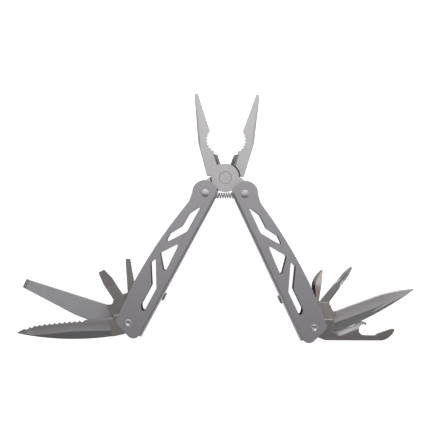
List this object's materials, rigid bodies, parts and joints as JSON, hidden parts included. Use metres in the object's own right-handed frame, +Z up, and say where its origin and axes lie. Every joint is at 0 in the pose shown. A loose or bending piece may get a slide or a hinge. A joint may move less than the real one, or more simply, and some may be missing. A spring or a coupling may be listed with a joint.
{
  "type": "multi tool",
  "caption": "Folding multi tool: spring-opened needle-nose pliers between two pierced sheet-steel handles, with blades, drivers, awl, file and opener fanned out of their ends.",
  "frame": {"origin": "centre of the bounding box in plan, on the plane that the open tool lies on", "axes": "+X to the right and +Y towards the jaw tips as the open tool lies front side up, +Z up through its thickness"},
  "size_m": [0.2389, 0.1489, 0.0132],
  "materials": {
    "handle_steel": "bead-blasted stainless sheet, matte grey with a faint purple tint",
    "jaw_steel": "satin forged steel, finely blasted",
    "rivet_steel": "bright turned steel",
    "bush_steel": "plain turned washer steel",
    "spring_steel": "drawn spring wire",
    "tool_steel": "ground and tumbled steel, dark satin",
    "file_steel": "steel with diagonal crossed file teeth",
    "blade_steel": "lengthwise ground blade steel with a bright edge",
    "button_steel": "ribbed dark steel"
  },
  "bodies": {
    "front_jaw": {"jaw_front": "jaw_steel", "jaw_pivot_rivet": "rivet_steel", "return_spring": "spring_steel"},
    "rear_jaw": {"jaw_rear": "jaw_steel"},
    "left_handle": {"left_channel": "handle_steel", "left_fold_rivet": "rivet_steel", "left_fold_bush_front": "bush_steel", "left_fold_bush_rear": "bush_steel", "left_tool_rivet": "rivet_steel", "left_tool_spacer_1": "bush_steel", "left_tool_spacer_2": "bush_steel", "left_tool_spacer_3": "bush_steel", "left_lock_spring": "spring_steel"},
    "serrated_blade": {"serrated_blade": "blade_steel"},
    "medium_flat_driver": {"medium_flat_driver": "tool_steel"},
    "small_flat_driver": {"small_flat_driver": "tool_steel"},
    "file": {"file": "file_steel"},
    "left_lock": {"left_lock_button": "button_steel", "left_lock_bar": "tool_steel"},
    "right_handle": {"right_channel": "handle_steel", "right_fold_rivet": "rivet_steel", "right_fold_bush_front": "bush_steel", "right_fold_bush_rear": "bush_steel", "right_tool_rivet": "rivet_steel", "right_tool_spacer_1": "bush_steel", "right_tool_spacer_2": "bush_steel", "right_tool_spacer_3": "bush_steel", "right_lock_spring": "spring_steel"},
    "opener": {"opener": "tool_steel"},
    "phillips_driver": {"phillips_driver": "tool_steel"},
    "awl": {"awl": "tool_steel"},
    "knife_blade": {"knife_blade": "blade_steel"},
    "right_lock": {"right_lock_button": "button_steel", "right_lock_bar": "tool_steel"}
  },
  "joints": [
    {"name": "pliers_pivot", "type": "hinge", "parent": "front_jaw", "child": "rear_jaw", "pos_m": [0.0044, 0.0237, 0.0066], "axis": [0, 0, 1], "range_deg": [0, 38], "stiffness_Nm_per_rad": 0.12, "deforming": ["return_spring"]},
    {"name": "left_fold", "type": "hinge", "parent": "rear_jaw", "child": "left_handle", "pos_m": [-0.00753, 0.01444, 0.0066], "axis": [0, 0, -1], "range_deg": [0, 128]},
    {"name": "serrated_blade_pivot", "type": "hinge", "parent": "left_handle", "child": "serrated_blade", "pos_m": [-0.05323, -0.06251, 0.0066], "axis": [0, 0, 1], "range_deg": [-126.2, 53.8]},
    {"name": "medium_flat_driver_pivot", "type": "hinge", "parent": "left_handle", "child": "medium_flat_driver", "pos_m": [-0.05323, -0.06251, 0.0066], "axis": [0, 0, 1], "range_deg": [-59.4, 120.6]},
    {"name": "small_flat_driver_pivot", "type": "hinge", "parent": "left_handle", "child": "small_flat_driver", "pos_m": [-0.05323, -0.06251, 0.0066], "axis": [0, 0, 1], "range_deg": [-32.1, 147.9]},
    {"name": "file_pivot", "type": "hinge", "parent": "left_handle", "child": "file", "pos_m": [-0.05323, -0.06251, 0.0066], "axis": [0, 0, 1], "range_deg": [-100.9, 79.1]},
    {"name": "left_lock_slide", "type": "slide", "parent": "left_handle", "child": "left_lock", "axis": [0.4736, 0.8807, 0], "range_m": [0, 0.0024], "stiffness_N_per_m": 400, "deforming": ["left_lock_spring"]},
    {"name": "right_fold", "type": "hinge", "parent": "front_jaw", "child": "right_handle", "pos_m": [0.01593, 0.01395, 0.0066], "axis": [0, 0, 1], "range_deg": [0, 130]},
    {"name": "opener_pivot", "type": "hinge", "parent": "right_handle", "child": "opener", "pos_m": [0.05726, -0.06543, 0.0066], "axis": [0, 0, -1], "range_deg": [-118.6, 61.4]},
    {"name": "phillips_driver_pivot", "type": "hinge", "parent": "right_handle", "child": "phillips_driver", "pos_m": [0.05726, -0.06543, 0.0066], "axis": [0, 0, -1], "range_deg": [-60.5, 119.5]},
    {"name": "awl_pivot", "type": "hinge", "parent": "right_handle", "child": "awl", "pos_m": [0.05726, -0.06543, 0.0066], "axis": [0, 0, -1], "range_deg": [-36.9, 143.1]},
    {"name": "knife_blade_pivot", "type": "hinge", "parent": "right_handle", "child": "knife_blade", "pos_m": [0.05726, -0.06543, 0.0066], "axis": [0, 0, -1], "range_deg": [-97.5, 82.5]},
    {"name": "right_lock_slide", "type": "slide", "parent": "right_handle", "child": "right_lock", "axis": [-0.4237, 0.9058, 0], "range_m": [0, 0.0024], "stiffness_N_per_m": 400, "deforming": ["right_lock_spring"]}
  ]
}
